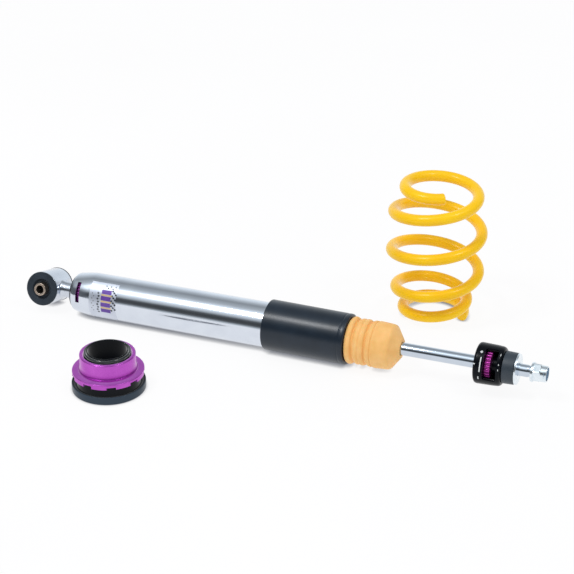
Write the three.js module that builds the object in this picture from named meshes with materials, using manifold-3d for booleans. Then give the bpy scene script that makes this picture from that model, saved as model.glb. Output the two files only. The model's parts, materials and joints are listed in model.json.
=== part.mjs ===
// Rear coilover kit in millimetres, +Z up, standing and lying on the floor z = 0.
// Three assemblies share the floor: the damper lies along +X, the coil spring stands behind
// it, and the height adjuster for the spring stands in front of it.
import * as THREE from 'three';
import { mergeVertices } from 'three/addons/utils/BufferGeometryUtils.js';
import Module from 'manifold-3d';

const wasm = await Module();
wasm.setup();

// ---- driving dimensions --------------------------------------------------------------
const TUBE_R = 22.5; // damper body, 45 mm outside diameter
const TUBE_WALL = 2.0;
const ROD_R = 6.25; // 12.5 mm piston rod
const SLEEVE_R = 25.0;
const SLEEVE_START = 204.7; // stations along the damper axis, from the body's lower end
const SLEEVE_END = 288.7;
const BUMP_END = 341.5;
const HOUSING_START = 416.0;
const HOUSING_END = 442.5;
const WASHER_FACE = 456.1;
const PIN_END = 480.4;
const EYE_STATION = -40.7;
const EYE_R = 17.25;
const EYE_LENGTH = 35.2;
const EYE_ROLL = 16.6; // degrees, the eye rests on the lower corner of its far end
const WIRE_R = 5.7; // 11.4 mm spring wire
const BASE_R = 35.2;
const FLANGE_R = 34.2;
const HUB_R = 26.6;
const SLEEVE_TURN = 0.7; // degrees, the loose dust sleeve droops at its closed end
const GAP = 0.3; // clearance between pieces that touch on the real object

// The body touches the floor at its lower end and rises towards the rod by the sleeve's step.
const TILT = Math.atan2(SLEEVE_R - TUBE_R, SLEEVE_START - 14);
const AXIS_HEIGHT = TUBE_R * Math.cos(TILT) - 14 * Math.sin(TILT);
const DAMPER_START = [-212.64, -7.65]; // x, y of station 0
const SPRING_CENTRE = [120.73, 119.88];
const PERCH_CENTRE = [-120.64, -134.75];
const FRONT_TURN = 21.81; // degrees, turns the spring and the adjuster to their resting angle
const WINDOW_TURN = 27; // degrees, how far the two dial windows sit above the horizontal

const deg = (angle) => (angle * Math.PI) / 180;

// ---- helpers ---------------------------------------------------------------------------
// A profile is a list of [station, radius]. It starts and ends on the axis, or `ring` closes
// it on itself. Both turn it around +X.
function turned(profile, sides = 32) {
  const points = profile.map(([station, radius]) => new THREE.Vector2(radius, station));
  return new THREE.LatheGeometry(points, sides).rotateZ(-Math.PI / 2);
}
const ring = (profile, sides) => turned([...profile, profile[0]], sides);

// The same profiles turned around +Z.
const upright = (profile, sides) => turned(profile, sides).rotateY(-Math.PI / 2);
const uprightRing = (profile, sides) => upright([...profile, profile[0]], sides);

// A plain tube wall from station a to b.
const tubeWall = (a, b, outer, inner, sides) =>
  ring([[a, outer], [b, outer], [b, inner], [a, inner]], sides);
const rodSolid = (a, b, radius, sides) => turned([[a, 0], [a, radius], [b, radius], [b, 0]], sides);

function boxBetween(low, high) {
  const size = high.map((value, i) => value - low[i]);
  const middle = high.map((value, i) => (value + low[i]) / 2);
  return new THREE.BoxGeometry(...size).translate(...middle);
}

function toSolid(geometry) {
  const bare = geometry.clone();
  bare.deleteAttribute('normal');
  bare.deleteAttribute('uv');
  const welded = mergeVertices(bare, 1e-4);
  return new wasm.Manifold(new wasm.Mesh({
    numProp: 3,
    vertProperties: Float32Array.from(welded.attributes.position.array),
    triVerts: Uint32Array.from(welded.index.array),
  }));
}

function toGeometry(solid) {
  const mesh = solid.getMesh();
  const geometry = new THREE.BufferGeometry();
  const count = mesh.vertProperties.length / mesh.numProp;
  const xyz = new Float32Array(count * 3);
  for (let i = 0; i < count; i += 1) {
    for (let k = 0; k < 3; k += 1) xyz[3 * i + k] = mesh.vertProperties[mesh.numProp * i + k];
  }
  geometry.setAttribute('position', new THREE.BufferAttribute(xyz, 3));
  geometry.setIndex(new THREE.BufferAttribute(Uint32Array.from(mesh.triVerts), 1));
  geometry.computeVertexNormals();
  return geometry;
}

const join = (...parts) =>
  toGeometry(parts.map(toSolid).reduce((total, part) => total.add(part)));
const cut = (body, ...tools) =>
  toGeometry(tools.map(toSolid).reduce((total, tool) => total.subtract(tool), toSolid(body)));

// Pushes every second column of a turned body inwards, beyond radius `from`: a knurled rim.
function knurled(geometry, sides, depth, from) {
  const position = geometry.attributes.position;
  for (let i = 0; i < position.count; i += 1) {
    const y = position.getY(i);
    const z = position.getZ(i);
    const radius = Math.hypot(y, z);
    const column = Math.round((Math.atan2(y, z) / (2 * Math.PI)) * sides);
    if (radius > from && Math.abs(column) % 2 === 1) {
      position.setY(i, (y * (radius - depth)) / radius);
      position.setZ(i, (z * (radius - depth)) / radius);
    }
  }
  return geometry;
}

// Round wire swept along a list of centre points, with flat ends.
function sweptWire(centres, radius, sides) {
  const xyz = [];
  const index = [];
  const last = centres.length - 1;
  centres.forEach((centre, i) => {
    const before = centres[Math.max(i - 1, 0)];
    const after = centres[Math.min(i + 1, last)];
    const along = after.clone().sub(before).normalize();
    const outward = new THREE.Vector3(centre.x, centre.y, 0).normalize();
    outward.addScaledVector(along, -outward.dot(along)).normalize();
    const across = along.clone().cross(outward);
    for (let k = 0; k < sides; k += 1) {
      const turn = (2 * Math.PI * (k + 0.5)) / sides;
      const point = centre.clone();
      point.addScaledVector(outward, radius * Math.cos(turn));
      point.addScaledVector(across, radius * Math.sin(turn));
      xyz.push(point.x, point.y, point.z);
    }
  });
  for (let i = 0; i < last; i += 1) {
    for (let k = 0; k < sides; k += 1) {
      const a = i * sides + k;
      const b = i * sides + ((k + 1) % sides);
      index.push(a, b, a + sides, b, b + sides, a + sides);
    }
  }
  [[0, [0, 2, 1]], [last, [0, 1, 2]]].forEach(([row, order]) => {
    const middle = xyz.length / 3;
    xyz.push(centres[row].x, centres[row].y, centres[row].z);
    for (let k = 0; k < sides; k += 1) {
      const corner = [middle, row * sides + k, row * sides + ((k + 1) % sides)];
      index.push(...order.map((slot) => corner[slot]));
    }
  });
  const geometry = new THREE.BufferGeometry();
  geometry.setAttribute('position', new THREE.Float32BufferAttribute(xyz, 3));
  geometry.setIndex(index);
  geometry.computeVertexNormals();
  return geometry;
}

const group = new THREE.Group();
const damper = new THREE.Group();
damper.position.set(DAMPER_START[0], DAMPER_START[1], AXIS_HEIGHT);
damper.rotation.y = -TILT;
const eye = new THREE.Group(); // its +X is the bushing's axis
eye.position.x = EYE_STATION;
eye.rotation.set(deg(-EYE_ROLL), 0, deg(-90), 'XYZ');
const spring = new THREE.Group();
spring.position.set(SPRING_CENTRE[0], SPRING_CENTRE[1], 0);
spring.rotation.z = deg(FRONT_TURN);
const perch = new THREE.Group();
perch.position.set(PERCH_CENTRE[0], PERCH_CENTRE[1], 0);
perch.rotation.z = deg(FRONT_TURN);
damper.add(eye);
group.add(damper, spring, perch);

function add(parent, name, geometry, color, metalness, roughness) {
  const material = new THREE.MeshStandardMaterial({ color, metalness, roughness });
  const mesh = new THREE.Mesh(geometry, material);
  mesh.name = name;
  parent.add(mesh);
}
const chrome = ['#d8dbe0', 1, 0.12];
const steel = ['#a9adb3', 1, 0.35];
const zinc = ['#dfe6ea', 1, 0.3];
const purple = ['#b455be', 0.9, 0.3];
const black = ['#14161b', 0, 0.2];

// ---- lower eye and its bushing -----------------------------------------------------------
const half = EYE_LENGTH / 2;
add(eye, 'eye_shell', tubeWall(1.5 - half, half - 1.5, EYE_R, 15.4), ...chrome);
add(eye, 'bushing_rubber', ring([
  [-half, 16.9], [-half + 0.5, 17.5], [-half + 1.2, 17.5], [-half + 1.2, 15.1], [half - 1.2, 15.1],
  [half - 1.2, 17.5], [half - 0.5, 17.5], [half, 16.9], [half, 6.8], [-half, 6.8],
]), '#2a3540', 0, 0.6);
add(eye, 'bushing_inner_sleeve', tubeWall(-half - 4, half + 4, 6.5, 4.2), ...zinc);

// The neck ends in a collar that is welded to the body's lower end.
const eyeClearance = rodSolid(-half - 5, half + 5, EYE_R + GAP)
  .rotateZ(deg(-90)).rotateX(deg(-EYE_ROLL)).translate(EYE_STATION, 0, 0);
add(damper, 'eye_neck', cut(turned([
  [-40, 0], [-40, 8.3], [-12.0, 8.3], [-10.8, 9.6], [-10.4, 14.8], [-9.8, 15.6],
  [-7.2, 16.0], [-7.2, 0],
]), eyeClearance), ...chrome);

// ---- lower end of the body, with its compression dial ---------------------------------------
const windowBox = (from, to, across, low) =>
  boxBetween([from, -across, low], [to, across, TUBE_R + 8]).rotateX(deg(90 - WINDOW_TURN));
add(damper, 'bottom_cap', cut(
  turned([
    [-6.8, 0], [-6.8, 19.0], [-5.9, 19.8], [-3.3, 20.4], [1.2, 21.2], [7, 22.0], [14, TUBE_R],
    [14, 20.2], [20, 20.2], [20, 0],
  ]),
  rodSolid(-0.5, 4.5, 19.3),
  windowBox(0, 3.8, 10.4, 10),
  rodSolid(4, 21, 4.6, 24),
), ...chrome);
add(damper, 'compression_wheel', knurled(turned([
  [0, 0], [0, 18.3], [0.4, 18.8], [3.4, 18.8], [3.8, 18.3], [3.8, 4.2],
  [12, 4.2], [12, 2.2], [5, 2.2], [5, 0],
]), 32, 0.7, 18.1), ...purple);
add(damper, 'compression_needle', turned([[5.4, 0], [5.4, 1.9], [30, 1.9], [34, 0.8], [34, 0]], 16), ...steel);

// ---- body tubes and valves ------------------------------------------------------------------
const tubeInner = TUBE_R - TUBE_WALL;
add(damper, 'outer_tube', ring([
  [14 + GAP, TUBE_R], [282.2, TUBE_R], [283, TUBE_R - 0.8], [283, 14.2], [280.8, 14.2],
  [280.8, tubeInner], [14 + GAP, tubeInner],
]), ...chrome);
add(damper, 'base_valve', ring([
  [20.3, 16.8], [37.7, 16.8], [37.7, 14.8], [43, 14.8], [43, 2.3], [20.3, 2.3],
], 24), ...steel);
add(damper, 'compression_shims', tubeWall(43.3, 44.3, 11.5, 3.0, 24), ...steel);
add(damper, 'inner_cylinder', tubeWall(38, 261.5, 17.0, 15.2, 24), ...steel);
add(damper, 'rod_guide', ring([
  [255, 14.8], [261.8, 14.8], [261.8, 20.2], [278.5, 20.2], [278.5, 6.6], [255, 6.6],
], 24), '#9aa0a6', 1, 0.4);
add(damper, 'rod_seal', ring([
  [278.8, 13.6], [282.4, 13.6], [284.2, 11.0], [284.2, 6.55], [278.8, 6.55],
], 24), '#1b1d20', 0, 0.6);

// ---- piston rod, piston and needle -----------------------------------------------------------
add(damper, 'piston_rod', ring([
  [216, 4.9], [238, 4.9], [238, ROD_R], [454.1, ROD_R], [454.1, 5.9], [465, 5.9], [467.7, 4.95],
  [PIN_END - 0.8, 4.95], [PIN_END, 4.2], [PIN_END, 2.2], [216, 2.2],
], 24), ...chrome);
add(damper, 'rebound_needle', turned([
  [214, 0], [214, 0.5], [219, 1.2], [478.0, 1.2], [478.0, 0],
], 16), '#c4c8cc', 1, 0.35);
add(damper, 'piston', tubeWall(223, 235, 14.2, 5.2, 24), '#9aa0a6', 1, 0.4);
add(damper, 'piston_band', tubeWall(225, 233, 14.95, 14.5, 24), '#3a2f52', 0, 0.5);
add(damper, 'rebound_shims', tubeWall(221.7, 222.7, 11.0, 5.2, 24), ...steel);
add(damper, 'piston_nut', cut(rodSolid(217, 221.4, 8.4, 6), rodSolid(216, 222, 5.2, 24)), ...steel);
add(damper, 'top_out_bumper', ring([
  [244, 12.2], [248, 12.8], [252, 12.2], [252, 6.55], [244, 6.55],
], 24), '#22252a', 0, 0.6);

// ---- dust sleeve and bump stop, which ride on the rod ------------------------------------------
add(damper, 'dust_sleeve', ring([
  [SLEEVE_START, SLEEVE_R], [SLEEVE_END - 1.2, SLEEVE_R], [SLEEVE_END - 0.3, SLEEVE_R - 0.4],
  [SLEEVE_END, SLEEVE_R - 1.4], [SLEEVE_END, 11.5], [286.3, 11.5], [286.3, 23.9],
  [SLEEVE_START, 23.9],
]).translate(-SLEEVE_END, 0, 0).rotateY(deg(SLEEVE_TURN)).translate(SLEEVE_END, 0, 0),
'#23282f', 0.1, 0.35);
add(damper, 'bump_stop', ring([
  [289.3, 21.4], [292.0, 23.2], [294.6, 22.5], [296.4, 19.8], [298.4, 21.9], [300.6, 22.5],
  [302.8, 21.7], [305.2, 22.6], [307.2, 22.1], [309.1, 19.8], [311.0, 22.0], [313.4, 22.6],
  [315.3, 21.9], [317.2, 22.8], [325, 22.5], [332.6, 21.9], [333.8, 20.8], [341.0, 10.4],
  [BUMP_END, 9.8], [BUMP_END, 6.6], [289.3, 6.6],
], 24), '#f4bf80', 0, 0.7);

// ---- top adjuster, spacer and fixings -----------------------------------------------------------
add(damper, 'adjuster_housing', cut(
  ring([
    [HOUSING_START, 16.6], [HOUSING_START + 0.9, 18.9], [HOUSING_START + 3.2, 19.8],
    [437.4, 18.9], [440.6, 17.6], [HOUSING_END, 14.6], [HOUSING_END, 6.6], [HOUSING_START, 6.6],
  ]),
  turned([[425.0, 0], [425.0, 15.9], [438.4, 15.9], [438.4, 8.4], [431.9, 8.4], [431.9, 0]]),
  windowBox(425.6, 438.4, 15.0, 9.0),
), ...black);
add(damper, 'rebound_wheel', knurled(ring([
  [425.9, 14.0], [426.3, 14.5], [431.1, 14.5], [431.5, 14.0], [431.5, 6.6], [425.9, 6.6],
]), 32, 0.8, 13.9), '#aa3c96', 0.8, 0.35);
add(damper, 'spacer_sleeve', ring([
  [HOUSING_END + GAP, 15.5], [453.4, 15.1], [454.1, 14.6], [454.1, 6.6], [HOUSING_END + GAP, 6.6],
], 24), '#3c4855', 0.2, 0.6);
add(damper, 'support_washer', ring([
  [454.4, 14.9], [455.7, 14.9], [WASHER_FACE, 14.5], [WASHER_FACE, 6.2], [454.4, 6.2],
], 24), ...zinc);

const hexCutter = cut(
  rodSolid(471.0, 477.7, 14, 24),
  rodSolid(470, 479, 9.2, 6),
);
add(damper, 'lock_nut', cut(
  ring([
    [468.4, 9.3], [470.5, 9.6], [471.0, 9.4], [476.9, 9.3], [477.7, 8.3], [477.7, 7.8],
    [482.4, 7.6], [483.5, 6.9], [483.5, 6.5], [480.4, 6.5], [480.4, 5.25], [468.4, 5.25],
  ], 24),
  hexCutter,
), ...zinc);
add(damper, 'nut_insert', tubeWall(480.7, 482.7, 6.2, 5.25, 24), '#7f9dbb', 0, 0.4);

// ---- coil spring -----------------------------------------------------------------------------------
// Each row: angle down the wire from the front, height and winding radius of the wire's centre.
const winding = new THREE.CatmullRomCurve3([
  [-8, 141.2, 27.2], [120, 140.7, 33.7], [270, 134.2, 40.3], [450, 115.9, 43.0],
  [630, 94.3, 45.7], [810, 74.2, 44.2], [990, 51.7, 44.4], [1170, 33.1, 38.8],
  [1350, 19.3, 34.0], [1530, 9.6, 30.6], [1640, WIRE_R + 0.35, 31.5],
  [1738, WIRE_R + 0.1, 31.4],
].map((row) => new THREE.Vector3(...row)), false, 'centripetal');
const wireSections = 108;
const wireCentres = [];
for (let i = 0; i <= wireSections; i += 1) {
  const { x: angle, y: height, z: radius } = winding.getPoint(i / wireSections);
  const turn = deg(angle);
  wireCentres.push(new THREE.Vector3(-radius * Math.sin(turn), -radius * Math.cos(turn), height));
}
add(spring, 'coil_spring', sweptWire(wireCentres, WIRE_R, 10), '#ffd728', 0, 0.25);

// ---- spring height adjuster ---------------------------------------------------------------------------
add(perch, 'perch_base', uprightRing([
  [0, 34.4], [0.8, BASE_R], [6.8, BASE_R], [7.6, 34.4], [7.6, 32.8], [5.2, 31.8], [5.2, 30.0],
  [14.2, 29.2], [14.8, 28.4], [14.8, 22.9], [5.0, 22.9], [5.0, 10], [0, 10],
]), ...black);
add(perch, 'perch_threaded_sleeve', uprightRing([
  [5.3, 22.6], [36.6, 22.6], [36.6, 19.8], [39.6, 19.8], [40.0, 19.5], [40.0, 19.1],
  [39.6, 18.7], [5.3, 18.7],
]), ...black);
const lipTurns = 8;
const lipProfile = [];
for (let i = 0; i < lipTurns; i += 1) {
  const turn = (2 * Math.PI * i) / lipTurns;
  lipProfile.push([38.2 - 1.15 * Math.cos(turn), 21.15 + 1.15 * Math.sin(turn)]);
}
add(perch, 'perch_sleeve_lip', uprightRing(lipProfile, 24), ...black);

// Nine spanner notches in the lower edge of the adjusting ring.
const notches = [];
for (let i = 0; i < 9; i += 1) {
  notches.push(boxBetween([-4.5, -40, 14], [4.5, -29.8, 18.2]).rotateZ(deg(10 + 40 * i)));
}
add(perch, 'perch_adjuster_ring', cut(uprightRing([
  [15.1, 34.2 - 0.6], [15.7, FLANGE_R], [19.8, FLANGE_R], [20.4, FLANGE_R - 0.6],
  [20.4, 28.6], [20.1, 28.6], [20.1, 22.95], [15.1, 22.95],
], 36), ...notches), ...purple);
add(perch, 'perch_hub', uprightRing([
  [20.4, 28.2], [22.0, 28.2], [23.6, HUB_R], [35.8, HUB_R], [36.8, HUB_R - 1.0],
  [36.8, 24.2], [36.0, 23.35], [20.4, 23.35],
]), ...purple);

export default group;
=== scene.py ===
import json
import math

import bmesh
import bpy
import numpy as np
from mathutils import Matrix, Vector

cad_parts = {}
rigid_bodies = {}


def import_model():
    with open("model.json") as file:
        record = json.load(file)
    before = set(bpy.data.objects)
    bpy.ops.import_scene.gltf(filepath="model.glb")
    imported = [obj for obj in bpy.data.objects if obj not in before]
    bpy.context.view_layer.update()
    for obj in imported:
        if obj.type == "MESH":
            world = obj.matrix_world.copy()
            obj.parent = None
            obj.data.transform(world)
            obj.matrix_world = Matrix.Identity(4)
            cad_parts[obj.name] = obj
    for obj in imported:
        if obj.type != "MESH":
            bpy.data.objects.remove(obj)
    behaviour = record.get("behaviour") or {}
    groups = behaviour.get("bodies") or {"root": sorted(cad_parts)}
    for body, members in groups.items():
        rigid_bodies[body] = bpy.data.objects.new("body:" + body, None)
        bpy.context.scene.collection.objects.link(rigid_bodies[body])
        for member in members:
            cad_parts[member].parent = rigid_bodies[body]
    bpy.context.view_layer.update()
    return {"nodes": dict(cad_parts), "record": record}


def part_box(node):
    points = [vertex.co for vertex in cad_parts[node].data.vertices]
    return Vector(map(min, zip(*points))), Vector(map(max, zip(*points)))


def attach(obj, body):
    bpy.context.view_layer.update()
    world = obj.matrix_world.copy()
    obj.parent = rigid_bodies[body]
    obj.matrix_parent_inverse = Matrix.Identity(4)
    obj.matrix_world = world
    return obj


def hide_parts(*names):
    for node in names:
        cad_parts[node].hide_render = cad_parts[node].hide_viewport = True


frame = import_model()
record = frame["record"]

# ---- driving dimensions, in millimetres --------------------------------------------------
MM = 0.001
ROD_R = 6.25
TUBE_R = 22.5
EYE_R = 17.32  # the round surface that the neck ends on
WIRE_R = 5.7
DIAL_STATION = 1.9  # where the lower dial's joint sits along the damper
EYE_ROLL = 16.6  # degrees the bushing's axis is rolled round the damper
FLOOR_DROP = 0.2  # the floor lies this far below the part
VIEW_AZIMUTH = 21.81  # degrees, camera to the right of the model's front
VIEW_ELEVATION = 26.87
VIEW_DISTANCE = 1776.7
VIEW_TARGET = (-41.37, 121.73, 0.0)
LENS = 105.0

# ---- where the assemblies are ------------------------------------------------------------
joints = {joint["name"]: joint for joint in record["behaviour"]["joints"]}
slot_of = {part["node"]: part["material_slot"] for part in record["subparts"]}
body_of = {node: body for body, nodes in record["behaviour"]["bodies"].items() for node in nodes}
azimuth = math.radians(VIEW_AZIMUTH)
FRONT = Vector((math.sin(azimuth), -math.cos(azimuth), 0))
UP = Vector((0, 0, 1))


def placement(origin, along, lean):
    """Matrix with x along a part's axis and y as near as possible to the lean direction."""
    x = Vector(along).normalized()
    y = (Vector(lean) - x * x.dot(Vector(lean))).normalized()
    turn = Matrix((x, y, x.cross(y))).transposed()
    return Matrix.Translation(Vector(origin)) @ turn.to_4x4()


damper_axis = Vector(joints["rod_stroke"]["axis"])
dial_centre = Vector(joints["compression_dial_turn"]["pos_m"])
damper_start = dial_centre - damper_axis * DIAL_STATION * MM
DAMPER = placement(damper_start, damper_axis, UP)
EYE = placement(joints["bushing_twist"]["pos_m"], joints["bushing_twist"]["axis"], UP)
base_low, base_high = (Vector(corner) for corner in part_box("perch_base"))
perch_centre = (base_low + base_high) / 2
PERCH = placement((perch_centre.x, perch_centre.y, base_low.z), UP, (0, -1, 0))

# ---- materials ---------------------------------------------------------------------------


def node(tree, kind, inputs=None, **settings):
    made = tree.nodes.new(kind)
    for key, value in settings.items():
        setattr(made, key, value)
    for key, value in (inputs or {}).items():
        if isinstance(value, bpy.types.NodeSocket):
            tree.links.new(value, made.inputs[key])
        else:
            made.inputs[key].default_value = value
    return made


def noise(tree, vector, scale, detail=3.0, stretch=(1, 1, 1)):
    """Noise over the piece's own coordinates; scale is in features per metre."""
    mapped = node(tree, "ShaderNodeMapping", {"Vector": vector, "Scale": stretch})
    made = node(tree, "ShaderNodeTexNoise",
                {"Vector": mapped.outputs[0], "Scale": scale, "Detail": detail})
    return made.outputs["Fac"]


def spread(tree, value, low, high, start=0.3, end=0.7):
    """Maps a noise value to the range low..high."""
    made = node(tree, "ShaderNodeMapRange", {
        "Value": value, "From Min": start, "From Max": end, "To Min": low, "To Max": high})
    return made.outputs["Result"]


def mixed(tree, factor, first, second):
    made = node(tree, "ShaderNodeMix", data_type="RGBA")
    tree.links.new(factor, made.inputs["Factor"])
    for index, value in ((6, first), (7, second)):
        if isinstance(value, bpy.types.NodeSocket):
            tree.links.new(value, made.inputs[index])
        else:
            made.inputs[index].default_value = (*value, 1)
    return made.outputs[2]


def surface(name, light, dark, rough, metallic=0.0, patch=60, grain=900, stretch=(1, 1, 1),
            bump=0.1, depth=0.00005, specks=None, foot=None, wall=None, **shader):
    """A finish with two slightly different tones, uneven roughness and a fine relief. A foot is
    (start, end, color): painted shade of that color at the start, fading out by the end, in metres
    along the piece's axis. A wall is (radius, color): painted reflection of that color on everything
    farther than that from the axis."""
    made = bpy.data.materials.new(name)
    made.use_nodes = True
    tree = made.node_tree
    principled = tree.nodes["Principled BSDF"]
    vector = node(tree, "ShaderNodeTexCoord").outputs["Object"]
    tone = spread(tree, noise(tree, vector, patch), 0, 1)
    color = mixed(tree, tone, dark, light)
    relief = noise(tree, vector, grain, 4.0, stretch)
    if specks:
        size, amount, speck_color = specks
        cells = node(tree, "ShaderNodeTexVoronoi", {"Vector": vector, "Scale": size})
        hit = spread(tree, cells.outputs["Distance"], amount, 0, 0.1, 0.3)
        color = mixed(tree, hit, color, speck_color)
    # Painted shade: the foot color at one end along the piece's axis, fading out.
    if foot:
        start, end, foot_shade_color = foot
        along = node(tree, "ShaderNodeSeparateXYZ", {0: vector}).outputs["X"]
        color = mixed(tree, spread(tree, along, 1, 0, start, end), color, foot_shade_color)
    # Painted reflection: a lighter color on everything beyond the radius.
    if wall:
        radius, wall_reflection_color = wall
        flat = node(tree, "ShaderNodeVectorMath", {0: vector, 1: (0, 1, 1)}, operation="MULTIPLY")
        reach = node(tree, "ShaderNodeVectorMath", {0: flat.outputs[0]}, operation="LENGTH")
        color = mixed(tree, spread(tree, reach.outputs["Value"], 0, 1, radius - 0.0006, radius),
                      color, wall_reflection_color)
    tree.links.new(color, principled.inputs["Base Color"])
    tree.links.new(spread(tree, relief, *rough), principled.inputs["Roughness"])
    bumped = node(tree, "ShaderNodeBump", {"Strength": bump, "Distance": depth, "Height": relief})
    tree.links.new(bumped.outputs[0], principled.inputs["Normal"])
    principled.inputs["Metallic"].default_value = metallic
    for key, value in shader.items():
        principled.inputs[key.replace("_", " ")].default_value = value
    return made


TURNED = (6.0, 0.35, 0.35)  # machining lines run round the axis
DRAWN = (0.05, 3.0, 3.0)  # polishing lines run along the axis
finishes = {
    "chrome_shell": surface("eye_chrome", (0.66, 0.70, 0.77), (0.58, 0.62, 0.69),
                            (0.14, 0.22), 1.0, stretch=DRAWN, bump=0.06),
    "chrome_body": surface("body_chrome", (0.70, 0.745, 0.82), (0.65, 0.695, 0.775),
                           (0.09, 0.15), 1.0, stretch=DRAWN, bump=0.04),
    "rod_chrome": surface("rod_chrome", (0.60, 0.66, 0.74), (0.56, 0.62, 0.70),
                          (0.05, 0.09), 1.0, stretch=TURNED, bump=0.03),
    "zinc_plate": surface("zinc_plate", (0.84, 0.90, 0.94), (0.70, 0.78, 0.84),
                          (0.14, 0.28), 1.0, patch=200, stretch=TURNED, bump=0.12),
    "valve_steel": surface("valve_steel", (0.55, 0.56, 0.58), (0.45, 0.46, 0.48),
                           (0.25, 0.4), 1.0, stretch=TURNED, bump=0.15),
    "sintered_iron": surface("sintered_iron", (0.34, 0.35, 0.36), (0.24, 0.25, 0.26),
                             (0.4, 0.6), 1.0, grain=2500, bump=0.3),
    "needle_alloy": surface("needle_alloy", (0.72, 0.73, 0.75), (0.60, 0.61, 0.64),
                            (0.2, 0.35), 1.0, stretch=TURNED, bump=0.1),
    "seal_rubber": surface("seal_rubber", (0.03, 0.03, 0.033), (0.02, 0.02, 0.022),
                           (0.5, 0.7), bump=0.3),
    "piston_band": surface("piston_band", (0.045, 0.035, 0.07), (0.03, 0.025, 0.05),
                           (0.4, 0.55), bump=0.2),
    "bushing_rubber": surface("bushing_rubber", (0.024, 0.036, 0.052), (0.014, 0.022, 0.032),
                              (0.42, 0.60), Specular_IOR_Level=0.3, grain=1800, bump=0.35,
                              specks=(900, 0.15, (0.06, 0.075, 0.09))),
    "sleeve_plastic": surface("sleeve_plastic", (0.011, 0.021, 0.036), (0.006, 0.013, 0.023),
                              (0.26, 0.36), grain=2200, bump=0.10, Specular_IOR_Level=0.42),
    "bump_foam": surface("bump_foam", (0.93, 0.56, 0.21), (0.86, 0.48, 0.15),
                         (0.45, 0.62), patch=90, grain=2600, bump=0.4,
                         specks=(1400, 0.30, (0.70, 0.36, 0.11)),
                         Specular_IOR_Level=0.3, Subsurface_Weight=0.12, Subsurface_Scale=0.002),
    "gloss_black": surface("gloss_black", (0.0035, 0.0050, 0.0080), (0.0020, 0.0030, 0.0050),
                           (0.16, 0.26), grain=1200, bump=0.06, Specular_IOR_Level=0.11),
    "anodised_purple": surface("anodised_purple", (0.52, 0.11, 0.57), (0.43, 0.07, 0.48),
                               (0.27, 0.31), 0.9, stretch=TURNED, bump=0.03),
    "dial_magenta": surface("dial_magenta", (0.46, 0.05, 0.34), (0.30, 0.03, 0.24),
                            (0.22, 0.36), 0.8, stretch=TURNED, bump=0.1),
    "spacer_grey": surface("spacer_grey", (0.030, 0.045, 0.062), (0.020, 0.032, 0.045),
                           (0.40, 0.52), grain=2400, bump=0.25),
    "nylon_blue": surface("nylon_blue", (0.20, 0.32, 0.46), (0.12, 0.22, 0.34),
                          (0.35, 0.5), bump=0.15, Subsurface_Weight=0.1, Subsurface_Scale=0.001),
    "yellow_coat": surface("yellow_coat", (0.98, 0.62, 0.010), (0.95, 0.55, 0.006),
                           (0.18, 0.30), patch=40, grain=700, bump=0.18, depth=0.0001,
                           Specular_IOR_Level=0.26),
}
# The hub turns a deeper, darker purple towards its foot by the flange: painted shade.
hub_purple_painted_shade = surface("hub_purple_painted_shade", (0.54, 0.11, 0.59), (0.45, 0.08, 0.50), (0.26, 0.30), 0.9,
                     stretch=TURNED, bump=0.03, foot=(0.0215, 0.0262, (0.30, 0.02, 0.33)))
# A darker purple for the lower dial: painted shade for its recess behind the window.
dial_purple_painted_shade = surface("dial_purple_painted_shade", (0.20, 0.02, 0.20), (0.12, 0.01, 0.13), (0.3, 0.4), 0.6,
                        stretch=TURNED, bump=0.1)
lip_black = surface("lip_black", (0.006, 0.010, 0.013), (0.003, 0.006, 0.008), (0.08, 0.14),
                    grain=1200, bump=0.05, Specular_IOR_Level=0.7)
# The base's outer rim side is painted a lighter blue-grey: painted reflection.
base_black_painted_rim = surface("base_black_painted_rim", (0.0035, 0.006, 0.009), (0.002, 0.004, 0.006), (0.18, 0.28),
                     grain=1200, bump=0.06, wall=(0.0348, (0.034, 0.052, 0.074)),
                     Specular_IOR_Level=0.14)
worn_zinc = surface("worn_zinc", (0.60, 0.50, 0.42), (0.42, 0.33, 0.26), (0.25, 0.40), 1.0,
                    patch=300, stretch=TURNED, bump=0.15)
bore_shade = surface("bore_shade", (0.020, 0.014, 0.008), (0.010, 0.007, 0.004), (0.5, 0.7))
print_white = surface("print_white", (0.80, 0.84, 0.84), (0.60, 0.64, 0.64), (0.4, 0.6), bump=0.1)
label_silver = surface("label_silver", (0.68, 0.72, 0.80), (0.60, 0.64, 0.73), (0.44, 0.54), 1.0,
                       grain=1500, bump=0.1)
label_purple = surface("label_purple", (0.16, 0.07, 0.42), (0.11, 0.05, 0.30), (0.3, 0.45), 0.2)
label_gold = surface("label_gold", (0.72, 0.52, 0.26), (0.60, 0.42, 0.18), (0.3, 0.45), 0.2)
label_ink = surface("label_ink", (0.03, 0.035, 0.05), (0.015, 0.02, 0.03), (0.3, 0.5))

# ---- shapes ------------------------------------------------------------------------------


def softened(profile, closed):
    """Rounds each corner whose third number is a fillet, in millimetres."""
    line = []
    count = len(profile)
    for i, corner in enumerate(profile):
        here = Vector(corner[:2])
        if len(corner) < 3 or (not closed and i in (0, count - 1)):
            line.append(here)
            continue
        before = Vector(profile[i - 1][:2]) - here
        after = Vector(profile[(i + 1) % count][:2]) - here
        reach = min(corner[2], before.length * 0.49, after.length * 0.49)
        start = here + before.normalized() * reach
        end = here + after.normalized() * reach
        for k in range(7):
            t = k / 6
            line.append(start * (1 - t) ** 2 + here * 2 * t * (1 - t) + end * t * t)
    return line


def smooth_line(points, steps=6):
    """A Catmull-Rom curve through (station, radius) points."""
    line = []
    last = len(points) - 1
    for i in range(last):
        a, b, c, d = (Vector(points[min(max(i + k, 0), last)]) for k in (-1, 0, 1, 2))
        for k in range(steps):
            t = k / steps
            line.append(0.5 * (2 * b + (c - a) * t + (2 * a - 5 * b + 4 * c - d) * t ** 2
                               + (3 * b - a - 3 * c + d) * t ** 3))
    return [tuple(point) for point in line] + [tuple(points[last])]


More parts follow.
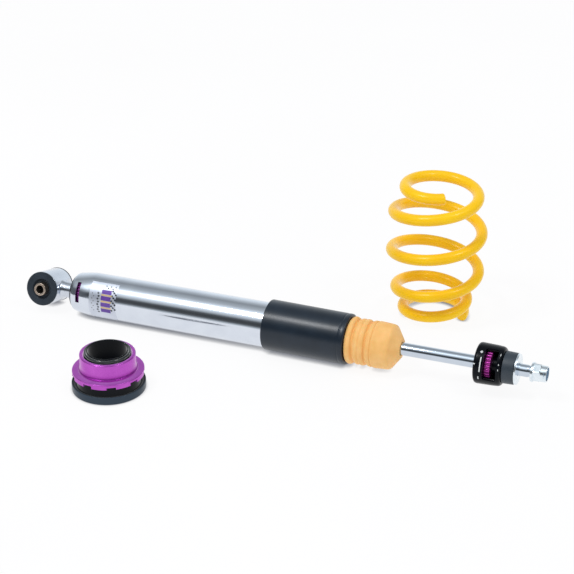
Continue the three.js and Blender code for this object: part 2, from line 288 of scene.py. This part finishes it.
def turned(profile, closed=True, segments=128, reshape=None):
    """A profile of (station, radius, fillet) turned round the x axis."""
    made = bmesh.new()
    rows = []
    for point in softened(profile, closed):
        station, radius = point
        if radius < 1e-6:
            rows.append([made.verts.new((station * MM, 0, 0))] * segments)
            continue
        row = []
        for k in range(segments):
            turn = 2 * math.pi * k / segments
            s, r = reshape(station, radius, turn) if reshape else (station, radius)
            row.append(made.verts.new((s * MM, r * math.sin(turn) * MM, r * math.cos(turn) * MM)))
        rows.append(row)
    if closed:
        rows.append(rows[0])
    for first, second in zip(rows, rows[1:]):
        for k in range(segments):
            n = (k + 1) % segments
            corners = list(dict.fromkeys((first[k], first[n], second[n], second[k])))
            if len(corners) > 2:
                made.faces.new(corners)
    bmesh.ops.recalc_face_normals(made, faces=made.faces)
    return made


def ribbed(count, depth, limit):
    """Reshapes a rim into rounded ribs, beyond a radius."""
    def reshape(station, radius, turn):
        if radius <= limit:
            return station, radius
        return station, radius - depth * (1 - abs(math.cos(turn * count / 2)) ** 0.7)
    return reshape


def threaded(start, end, pitch, depth, floor):
    """Reshapes a wall into a screw thread between two stations, beyond a radius."""
    def reshape(station, radius, turn):
        if not start <= station <= end or radius < floor:
            return station, radius
        wave = abs(((station / pitch - turn / (2 * math.pi)) % 1) * 2 - 1)
        return station, radius - depth * (1 - min(1, wave * 1.3))
    return reshape


def dense(a, b, radius, step):
    """Close stations along a straight wall, so that a thread has something to bend."""
    count = int(abs(b - a) / step)
    return [(a + (b - a) * i / count, radius) for i in range(count + 1)]


def block(low, high, bevel=0.0):
    made = bmesh.new()
    bmesh.ops.create_cube(made, size=1)
    for vertex in made.verts:
        vertex.co = Vector((low[i] if vertex.co[i] < 0 else high[i]) * MM for i in range(3))
    if bevel:
        bmesh.ops.bevel(made, geom=made.edges[:], offset=bevel * MM, segments=4, affect="EDGES",
                        profile=0.5)
    return made


def to_object(name, made, place=Matrix()):
    data = bpy.data.meshes.new(name)
    made.to_mesh(data)
    made.free()
    obj = bpy.data.objects.new(name, data)
    bpy.context.scene.collection.objects.link(obj)
    obj.matrix_world = place
    return obj


def carve(obj, *cutters):
    """Cuts bmesh shapes, given in the object's own frame, out of it."""
    for i, cutter in enumerate(cutters):
        tool = to_object(f"cutter_{i}", cutter, obj.matrix_world)
        modifier = obj.modifiers.new("cut", "BOOLEAN")
        modifier.object = tool
        modifier.operation = "DIFFERENCE"
        modifier.solver = "EXACT"
        bpy.context.view_layer.update()
        graph = bpy.context.evaluated_depsgraph_get()
        obj.data = bpy.data.meshes.new_from_object(obj.evaluated_get(graph))
        obj.modifiers.clear()
        bpy.data.objects.remove(tool)
    return obj


def dress(obj, material, edge=32):
    obj.data.materials.clear()
    obj.data.materials.append(material)
    obj.data.shade_smooth()
    obj.data.set_sharp_from_angle(angle=math.radians(edge))


def stands_for(obj, name, edge=32):
    """Finishes a piece that replaces the CAD node of that name."""
    dress(obj, finishes[slot_of[name]], edge)
    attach(obj, body_of[name])
    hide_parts(name)
    return obj


def lathe(name, profile, place, cutters=(), edge=32, **options):
    obj = to_object(name + "_detail", turned(profile, **options), place)
    return stands_for(carve(obj, *cutters), name, edge)


# ---- lower eye and bushing ---------------------------------------------------------------
lathe("eye_shell", [(-16.1, 17.25, 0.7), (16.1, 17.25, 0.7), (16.1, 15.4, 0.3), (-16.1, 15.4, 0.3)],
      EYE)
half_rubber = [(0, 15.1), (16.4, 15.1, 0.1), (16.4, 17.5, 0.3), (17.6, 17.3, 0.7), (17.6, 10.4, 0.8),
               (14.6, 8.9, 0.7), (14.2, 6.62, 0.2)]
lathe("bushing_rubber", half_rubber + [(-p[0], *p[1:]) for p in reversed(half_rubber[1:])], EYE)
inner_sleeve = lathe("bushing_inner_sleeve", [(-21.6, 6.5, 0.6), (21.6, 6.5, 0.6),
                                              (21.6, 4.2, 0.6), (-21.6, 4.2, 0.6)], EYE)
dress(inner_sleeve, worn_zinc)
# A thin dark sheet inside the bushing's bore: painted shade that keeps the bore dark.
bore_shade_sheet = to_object("sleeve_bore_painted_shade", turned([(-21.0, 4.22), (21.0, 4.22), (21.0, 4.05),
                                                (-21.0, 4.05)], segments=64), EYE)
dress(bore_shade_sheet, bore_shade)
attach(bore_shade_sheet, body_of["bushing_inner_sleeve"])

# A dark ring round the neck's collar, below the body: painted shade for the shaded seam there.
seam_shade_ring = to_object("cap_seam_painted_shade", turned([(-9.0, 16.02), (-9.0, 17.0, 0.3), (-7.2, 17.6, 0.3),
                                     (-7.2, 16.02)], segments=128), DAMPER)
dress(seam_shade_ring, finishes["seal_rubber"])
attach(seam_shade_ring, body_of["bottom_cap"])

EYE_STATION = (EYE.translation - DAMPER.translation).dot(damper_axis) / MM
NECK_ROOT = -40  # stations near this one count from the eye's surface instead
NECK_ROOT_END = -25


def saddle(station, radius, turn):
    """Ends the neck on the eye's round outside."""
    if station > NECK_ROOT_END:
        return station, radius
    roll = math.radians(EYE_ROLL)
    side = radius * (math.sin(turn) * math.cos(roll) - math.cos(turn) * math.sin(roll))
    return EYE_STATION + math.sqrt(EYE_R ** 2 - side ** 2) + station - NECK_ROOT, radius


lathe("eye_neck", [(NECK_ROOT, 0), (NECK_ROOT, 9.4), (-39.3, 9.3), (-38.4, 8.8), (-37.2, 8.4), (-36, 8.3),
                   (-12.2, 8.3, 1.4), (-10.8, 9.8, 0.6), (-10.4, 15.2, 0.9), (-9.6, 16.0, 0.5),
                   (-7.8, 16.0, 0.4), (-7.6, 13.2, 0.3), (-7.2, 13.2), (-7.2, 0)],
      DAMPER, closed=False, reshape=saddle)

# ---- lower end of the body and its dial --------------------------------------------------
WINDOW_TURN = math.radians(27)
window_place = Matrix.Rotation(WINDOW_TURN, 4, "X").inverted()


def window(start, end, across, low, high, bevel):
    """A cutter that opens a dial window on the side that faces the viewer."""
    made = block((start, -across, low), (end, across, high), bevel)
    bmesh.ops.transform(made, matrix=window_place, verts=made.verts)
    return made


dome = [(-6.8, 0), (-6.8, 18.2), (-6.8, 19.3, 0.7)]
for i in range(13):
    t = i / 12
    dome.append((-5.9 + 20.0 * t, 19.7 + 2.8 * (1 - (1 - t) ** 1.6)))
dome += [(14.1, 20.2), (20, 20.2), (20, 0)]
lathe("bottom_cap", dome, DAMPER, closed=False, cutters=[
    turned([(-0.5, 0), (-0.5, 19.3), (4.5, 19.3), (4.5, 0)], closed=False),
    window(-0.1, 4.2, 10.4, 10, 30, 0.4),
    turned([(4, 0), (4, 4.6), (21, 4.6), (21, 0)], closed=False, segments=48)])
wheel = lathe("compression_wheel", [(0.2, 0), (0.2, 18.3, 0.5), (3.4, 18.3, 0.5), (3.4, 4.2, 0.3),
                                    (12, 4.2, 0.4), (12, 2.2, 0.2), (5, 2.2), (5, 0)],
              DAMPER, closed=False, segments=192, reshape=ribbed(32, 0.9, 17.2))
# The lower dial gets the darker purple: painted shade.
dress(wheel, dial_purple_painted_shade)
lathe("outer_tube", [(14.12, TUBE_R), (282.2, TUBE_R, 0.5), (283, 21.7, 0.4), (283, 14.2, 0.4),
                     (280.8, 14.2), (280.8, 20.5), (14.12, 20.5)], DAMPER, segments=160)

# ---- label on the body: plain blocks, bars and dots --------------------------------------
LABEL_TURN = math.radians(17)


def decal(name, patches, radius, base_turn, material, body, thickness=0.08):
    """Thin printed patches on a round wall. Each is (station, offset round the wall, half sizes,
    number of sides); four sides make a bar that follows the wall."""
    made = bmesh.new()
    for station, around, half_s, half_a, sides in patches:
        if sides == 4:
            steps = max(2, int(half_a / 0.8))
            outline = [(station - half_s, around + half_a * (2 * k / steps - 1))
                       for k in range(steps + 1)]
            mirror = [(station + half_s, a) for _, a in outline]
            strips = [outline, mirror]
        else:
            ring = [(station + half_s * math.cos(2 * math.pi * k / sides),
                     around + half_a * math.sin(2 * math.pi * k / sides)) for k in range(sides)]
            strips = [ring]
        layers = []
        for lift in (-0.02, thickness):
            layer = []
            for strip in strips:
                row = []
                for s, a in strip:
                    turn = base_turn + a / radius
                    r = radius + lift
                    row.append(made.verts.new((s * MM, r * math.sin(turn) * MM,
                                               r * math.cos(turn) * MM)))
                layer.append(row)
            layers.append(layer)
        if sides == 4:
            for low, high in zip(layers[0] + layers[1][::-1], [layers[0][1], layers[1][1],
                                                               layers[1][0], layers[0][0]]):
                for k in range(len(low) - 1):
                    made.faces.new((low[k], low[k + 1], high[k + 1], high[k]))
            for k in (0, -1):
                made.faces.new((layers[0][0][k], layers[0][1][k], layers[1][1][k], layers[1][0][k]))
        else:
            bottom, top = layers[0][0], layers[1][0]
            made.faces.new(bottom)
            made.faces.new(top)
            for k in range(sides):
                n = (k + 1) % sides
                made.faces.new((bottom[k], bottom[n], top[n], top[k]))
    bmesh.ops.recalc_face_normals(made, faces=made.faces)
    obj = to_object(name, made, DAMPER)
    dress(obj, material)
    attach(obj, body)


decal("label_sheet", [(31, -3, 15, 22, 4)], TUBE_R, LABEL_TURN, label_silver, "barrel",
      0.06)
decal("label_blocks", [(35, 9 - 6.6 * i, 5.4, 2.2, 4) for i in range(4)],
      TUBE_R, LABEL_TURN, label_purple, "barrel", 0.10)
decal("label_bars", [(35.5, 5.7 - 6.6 * i, 5.8, 0.7, 4) for i in range(3)],
      TUBE_R, LABEL_TURN, label_gold, "barrel", 0.12)
dots = [(26.0 + 0.8 * (i % 2), 7 - 2.9 * i, 1.1, 0.9, 10) for i in range(8)]
dots += [(41.6 + 1.9 * (i % 3), 11 - 1.7 * i, 1.1, 1.1, 10) for i in range(13)]
dots += [(33.0 + 2.6 * i, 15.5 - 2.2 * (i % 2), 0.8, 0.7, 10) for i in range(5)]
dots += [(19.5 + 1.7 * (i % 2), 6 - 2.6 * i, 0.5, 0.5, 8) for i in range(8)]
decal("label_dots", dots, TUBE_R, LABEL_TURN, label_ink, "barrel", 0.12)

# ---- piston rod, dust sleeve and bump stop -----------------------------------------------
lathe("piston_rod", [(216, 4.9, 0.3), (238, 4.9), (238, ROD_R, 0.3), (454.1, ROD_R, 0.1),
                     (454.1, 5.9), (465, 5.9, 0.4), (467.7, 4.95)]
      + dense(468, 479.0, 4.95, 0.2) + [(479.7, 4.5), (480.4, 4.1, 0.2), (480.4, 2.2, 0.2), (216, 2.2)],
      DAMPER, segments=96, reshape=threaded(468, 479.0, 1.5, 0.6, 4.9))
# The loose sleeve droops a little about the middle of its closed end.
sleeve_end = Matrix.Translation((288.7 * MM, 0, 0))
droop = sleeve_end @ Matrix.Rotation(math.radians(-0.7), 4, "Z") @ sleeve_end.inverted()
lathe("dust_sleeve", [(204.7, 25.0, 0.4), (282.6, 25.0, 0.4), (283.6, 24.6, 0.4), (284.6, 25.0, 0.4),
                      (288.7, 25.0, 1.8), (288.7, 11.5, 0.4), (286.3, 11.5, 0.2), (286.3, 23.9, 0.8),
                      (204.7, 23.9, 0.4)], DAMPER @ droop, segments=160)
foam = smooth_line([(289.3, 21.4), (290.3, 22.5), (292.2, 23.2), (294.6, 22.4), (296.4, 19.9),
                    (298.2, 21.7), (300.4, 22.5), (302.1, 22.2), (302.8, 21.7), (303.5, 22.2),
                    (305.4, 22.6), (307.6, 21.8), (309.1, 19.8), (310.7, 21.6), (312.8, 22.5),
                    (314.6, 22.4), (315.3, 21.8), (316.1, 22.5), (318.2, 22.8), (324.0, 22.5),
                    (330.8, 22.0), (333.0, 21.2), (334.6, 19.3), (337.6, 15.1), (340.4, 11.2),
                    (341.4, 9.8)])
lathe("bump_stop", foam + [(341.5, 6.6, 0.5), (289.3, 6.6)], DAMPER, edge=50)

# ---- top adjuster, spacer and fixings ----------------------------------------------------
lathe("adjuster_housing", [(416.0, 19.8, 3.4), (434.5, 19.3), (442.5, 18.6, 5.4), (442.5, 6.6, 0.4),
                           (416.0, 6.6, 0.6)], DAMPER, segments=160, edge=40, cutters=[
    turned([(425.0, 0), (425.0, 15.9), (438.4, 15.9), (438.4, 8.4), (431.9, 8.4), (431.9, 0)],
           closed=False),
    window(425.6, 438.4, 15.0, 9.0, 30, 2.0)])
lathe("rebound_wheel", [(425.9, 14.5, 0.5), (431.5, 14.5, 0.5), (431.5, 6.6, 0.3),
                        (425.9, 6.6, 0.3)], DAMPER, segments=220,
      reshape=ribbed(22, 1.0, 13.5))
lathe("spacer_sleeve", [(442.8, 15.5, 0.4), (453.2, 15.15, 0.3), (454.1, 14.6, 0.3),
                        (454.1, 6.6, 0.3), (442.8, 6.6, 0.3)], DAMPER)
lathe("support_washer", [(454.3, 14.9, 0.3), (456.1, 14.8, 0.4), (456.1, 6.2, 0.3), (454.3, 6.2)],
      DAMPER)
marks = [(422.4, 11.5, 1.3, 0.5, 4), (422.4, 11.5, 0.5, 1.3, 4), (422.2, -15.0, 0.5, 1.6, 4),
         (423.2, -1.0, 0.5, 7.2, 4), (417.6, -1.0, 0.9, 0.7, 12)]
decal("housing_marks", marks, 19.72, WINDOW_TURN, print_white, "rod", 0.12)
marks = [(439.9, 11.5, 1.0, 1.5, 10), (440.2, 1.5, 0.6, 0.8, 10), (440.2, -3.5, 0.5, 0.9, 10)]
decal("housing_end_marks", marks, 18.5, WINDOW_TURN, print_white, "rod", 0.1)


def hexed(station, radius, turn):
    """Pulls the nut's wrenching length in to a hexagon with chamfered corners."""
    if not 471.1 <= station <= 477.6 or radius < 6:
        return station, radius
    flat = 8.1 / math.cos((turn + math.pi / 6) % (math.pi / 3) - math.pi / 6)
    return station, min(radius, flat)


lathe("lock_nut", [(468.4, 9.2, 0.4), (470.8, 9.6, 0.4), (471.1, 8.9), (471.11, 9.0), (472.2, 9.35),
                   (476.0, 9.35), (477.1, 8.9), (477.5, 8.2), (477.8, 7.8), (483.5, 7.6, 1.1),
                   (483.5, 6.5, 0.2), (480.4, 6.5), (480.4, 5.25), (468.4, 5.25, 0.4)],
      DAMPER, segments=180, reshape=hexed, edge=25)
lathe("nut_insert", [(480.7, 6.2), (482.7, 6.2, 0.3), (482.4, 5.25, 0.3), (480.7, 5.25)], DAMPER)
decal("nut_window", [(480.2, 0, 1.6, 3.0, 4)], 7.66, math.radians(20), finishes["nylon_blue"],
      "rod", 0.05)

# ---- coil spring -------------------------------------------------------------------------
# Angle down the wire from the front, height of the wire's centre, and winding radius. The rows
# came from a fit and were then rounded and changed, so they follow no formula.
winding = np.array([
    [-8, 141.2, 27.2], [120, 140.7, 33.7], [270, 134.2, 40.3], [450, 115.9, 43.0],
    [630, 94.3, 45.7], [810, 74.2, 44.2], [990, 51.7, 44.4], [1170, 33.1, 38.8],
    [1350, 19.3, 34.0], [1530, 9.6, 30.6], [1640, WIRE_R + 0.35, 31.5],
    [1738, WIRE_R + 0.1, 31.4]])


def hermite(angles, known):
    """Smooth heights and radii at the given angles, through the known rows."""
    x, y = known[:, 0], known[:, 1:]
    step = np.diff(x)[:, None]
    slope = np.diff(y, axis=0) / step
    inner = (slope[:-1] * step[1:] + slope[1:] * step[:-1]) / (step[1:] + step[:-1])
    tangent = np.vstack([slope[:1], inner, slope[-1:]])
    i = np.clip(np.searchsorted(x, angles) - 1, 0, len(x) - 2)
    h = step[i]
    t = ((angles - x[i])[:, None]) / h
    return (y[i] * (1 + 2 * t) * (1 - t) ** 2 + tangent[i] * h * t * (1 - t) ** 2
            + y[i + 1] * t ** 2 * (3 - 2 * t) + tangent[i + 1] * h * t ** 2 * (t - 1))


def spring_mesh(sections=760, sides=36):
    angles = np.linspace(winding[0, 0], winding[-1, 0], sections)
    height, radius = hermite(angles, winding).T
    turn = np.radians(angles)
    centres = np.stack([-radius * np.sin(turn), -radius * np.cos(turn), height], axis=1)
    along = np.gradient(centres, axis=0)
    along /= np.linalg.norm(along, axis=1)[:, None]
    outward = centres * (1, 1, 0)
    outward -= along * (outward * along).sum(axis=1)[:, None]
    outward /= np.linalg.norm(outward, axis=1)[:, None]
    across = np.cross(along, outward)
    # Each end is cut square with a small chamfer.
    rows = [(0, 0.86), (0, 1.0)] + [(i, 1.0) for i in range(1, sections - 1)]
    rows += [(sections - 1, 1.0), (sections - 1, 0.86)]
    made = bmesh.new()
    rings = []
    for order, (i, share) in enumerate(rows):
        centre = centres[i]
        if order in (1, len(rows) - 2):
            centre = centre + along[i] * (0.8 if order == 1 else -0.8)
        ring = []
        for k in range(sides):
            angle = 2 * math.pi * k / sides
            point = centre + WIRE_R * share * (outward[i] * math.cos(angle)
                                               + across[i] * math.sin(angle))
            ring.append(made.verts.new(point * MM))
        rings.append(ring)
    for first, second in zip(rings, rings[1:]):
        for k in range(sides):
            n = (k + 1) % sides
            made.faces.new((first[k], first[n], second[n], second[k]))
    made.faces.new(rings[0])
    made.faces.new(rings[-1])
    bmesh.ops.recalc_face_normals(made, faces=made.faces)
    return made


spring = to_object("coil_spring_detail", spring_mesh())
spring.data.transform(Matrix.Rotation(azimuth, 4, "Z"))
corners = [vertex.co for vertex in spring.data.vertices]
low, high = (Vector(corner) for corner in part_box("coil_spring"))
for i in range(2):
    values = [corner[i] for corner in corners]
    spring.location[i] = (low[i] + high[i] - min(values) - max(values)) / 2
bpy.context.view_layer.update()
stands_for(spring, "coil_spring", 40)

# ---- spring height adjuster --------------------------------------------------------------
lathe("perch_base", [(0, 35.2, 0.9), (7.6, 35.2, 0.8), (7.6, 33.0, 0.6), (5.2, 32.0, 0.8),
                     (5.2, 30.0, 0.8), (14.8, 29.0, 0.7), (14.8, 22.9, 0.3), (5.0, 22.9),
                     (5.0, 10, 0.4), (0, 10, 0.4)], PERCH, segments=160)
lathe("perch_threaded_sleeve", dense(5.3, 36.0, 22.6, 0.25) + [
    (36.6, 22.0), (36.6, 19.8, 0.2), (40.0, 19.8, 0.5), (40.0, 18.7, 0.5), (5.3, 18.7)],
      PERCH, segments=96, reshape=threaded(6, 35.8, 2.0, 0.7, 22.5))
lip = [(38.2 - 1.15 * math.cos(2 * math.pi * i / 20), 21.15 + 1.15 * math.sin(2 * math.pi * i / 20))
       for i in range(20)]
lathe("perch_sleeve_lip", lip, PERCH, segments=160)
notches = []
for i in range(9):
    notch = block((14, 29.8, -4.5), (18.2, 40, 4.5), 0.35)
    spin = Matrix.Rotation(math.radians(-10 - 40 * i) - azimuth, 4, "X")
    bmesh.ops.transform(notch, matrix=spin.inverted(), verts=notch.verts)
    notches.append(notch)
lathe("perch_adjuster_ring", [(15.1, 34.2, 0.6), (20.4, 34.2, 0.7), (20.4, 28.6, 0.1),
                              (20.1, 28.6), (20.1, 22.95, 0.4), (15.1, 22.95, 0.4)],
      PERCH, segments=180, cutters=notches)
lathe("perch_hub", [(20.4, 28.2, 0.3), (21.9, 28.2, 0.5), (22.1, 27.2, 0.3), (24.0, 26.6, 1.0),
                    (36.8, 26.6, 1.2), (36.8, 23.35, 0.9), (20.4, 23.35, 0.3)], PERCH, segments=160)

# The spring and the adjuster are hidden from every reflection, their own included, so that the
# polished body and rod don't show them.
for obj in bpy.data.objects:
    if obj.name.startswith(("coil_", "perch_")):
        obj.visible_glossy = False
for name, finish in (("perch_base", base_black_painted_rim), ("perch_sleeve_lip", lip_black),
                     ("perch_hub", hub_purple_painted_shade)):
    dress(bpy.data.objects[name + "_detail"], finish)

# ---- hidden pieces keep their CAD shape and get a finish ---------------------------------
for name, obj in frame["nodes"].items():
    if not obj.hide_render:
        dress(obj, finishes[slot_of[name]])

# ---- floor, light and camera -------------------------------------------------------------
floor_mesh = bmesh.new()
bmesh.ops.create_grid(floor_mesh, x_segments=2, y_segments=2, size=6)
floor = to_object("floor", floor_mesh, Matrix.Translation((0, 0, -FLOOR_DROP * MM)))
# The table gives off its own light. Ambient occlusion darkens it where pieces touch it, which
# stands in for a contact shadow.
table = surface("lit_table", (0.08, 0.08, 0.08), (0.07, 0.07, 0.07), (0.75, 0.9), patch=2,
                grain=400, bump=0.02, Specular_IOR_Level=0.1, Emission_Strength=1.0)
tree = table.node_tree
touch = node(tree, "ShaderNodeAmbientOcclusion", {"Distance": 0.006}, samples=12)
tree.links.new(mixed(tree, spread(tree, touch.outputs["AO"], 0, 1, 0.1, 0.75), (0.16, 0.17, 0.20),
                     (0.91, 0.91, 0.915)),
               tree.nodes["Principled BSDF"].inputs["Emission Color"])
dress(floor, table)

world = bpy.data.worlds.new("studio")
bpy.context.scene.world = world
world.use_nodes = True
tree = world.node_tree
direction = node(tree, "ShaderNodeTexCoord").outputs["Generated"]
toward = node(tree, "ShaderNodeVectorMath", {0: direction, 1: FRONT}, operation="DOT_PRODUCT")
height = node(tree, "ShaderNodeVectorMath", {0: direction, 1: UP}, operation="DOT_PRODUCT")
sweep = node(tree, "ShaderNodeMath", {0: height.outputs["Value"], 1: toward.outputs["Value"]},
             operation="ARCTAN2")
share = node(tree, "ShaderNodeMath", {0: sweep.outputs[0], 1: math.pi}, operation="DIVIDE")
ramp = node(tree, "ShaderNodeValToRGB", {"Fac": share.outputs[0]})
# Brightness of the studio from the viewer's horizon (0), over the top (90) to the far one (180).
studio = [(0, 0.80), (5, 0.50), (13, 0.11), (26, 0.06), (39, 0.11), (50, 0.6), (61, 0.95),
          (70, 1.6), (83, 1.6), (93, 0.9), (104, 0.58), (126, 0.36), (141, 0.6), (160, 0.95), (180, 1.1)]
while len(ramp.color_ramp.elements) < len(studio):
    ramp.color_ramp.elements.new(0.5)
for element, (angle, value) in zip(ramp.color_ramp.elements, studio):
    element.position = angle / 180
    element.color = (value * 0.90, value * 0.96, value, 1)
# Only reflections see this studio. Other light from the surround is an even grey, and the camera
# sees near white.
path = node(tree, "ShaderNodeLightPath").outputs
# Reflections also see a dark flag to the left and another to the right.
across = node(tree, "ShaderNodeVectorMath", {0: direction, 1: FRONT.cross(UP)},
              operation="DOT_PRODUCT")
sideways = node(tree, "ShaderNodeMath", {0: across.outputs["Value"]}, operation="ABSOLUTE")
flag = spread(tree, sideways.outputs[0], 0, 1, 0.70, 0.88)
seen = mixed(tree, flag, ramp.outputs["Color"], (0.12, 0.13, 0.14))
shown = mixed(tree, path["Is Glossy Ray"], (0.66, 0.66, 0.67), seen)
shown = mixed(tree, path["Is Camera Ray"], shown, (0.97, 0.97, 0.975))
background = tree.nodes["Background"]
tree.links.new(shown, background.inputs["Color"])
background.inputs["Strength"].default_value = 1.0


def softbox(name, azimuth_deg, elevation_deg, distance, size, power):
    turn = azimuth + math.radians(azimuth_deg)
    rise = math.radians(elevation_deg)
    data = bpy.data.lights.new(name, "AREA")
    data.shape = "RECTANGLE"
    data.size, data.size_y = size
    data.energy = power
    obj = bpy.data.objects.new(name, data)
    bpy.context.scene.collection.objects.link(obj)
    reach = math.cos(rise)
    obj.location = Vector((math.sin(turn) * reach, -math.cos(turn) * reach,
                           math.sin(rise))) * distance
    obj.rotation_euler = obj.location.to_track_quat("Z", "Y").to_euler()


softbox("softbox_left", -62, 60, 2.4, (0.5, 0.5), 17)
softbox("softbox_right", 58, 58, 2.4, (0.4, 0.4), 8)

target = Vector(VIEW_TARGET) * MM
elevation = math.radians(VIEW_ELEVATION)
camera_data = bpy.data.cameras.new("camera")
camera_data.lens = LENS
camera_data.sensor_width = 36
camera_data.clip_end = 50
camera = bpy.data.objects.new("camera", camera_data)
bpy.context.scene.collection.objects.link(camera)
camera.location = target + (FRONT * math.cos(elevation) + UP * math.sin(elevation)) * (
    VIEW_DISTANCE * MM)
camera.rotation_euler = (camera.location - target).to_track_quat("Z", "Y").to_euler()
bpy.context.scene.camera = camera
bpy.context.scene.view_settings.view_transform = "Standard"
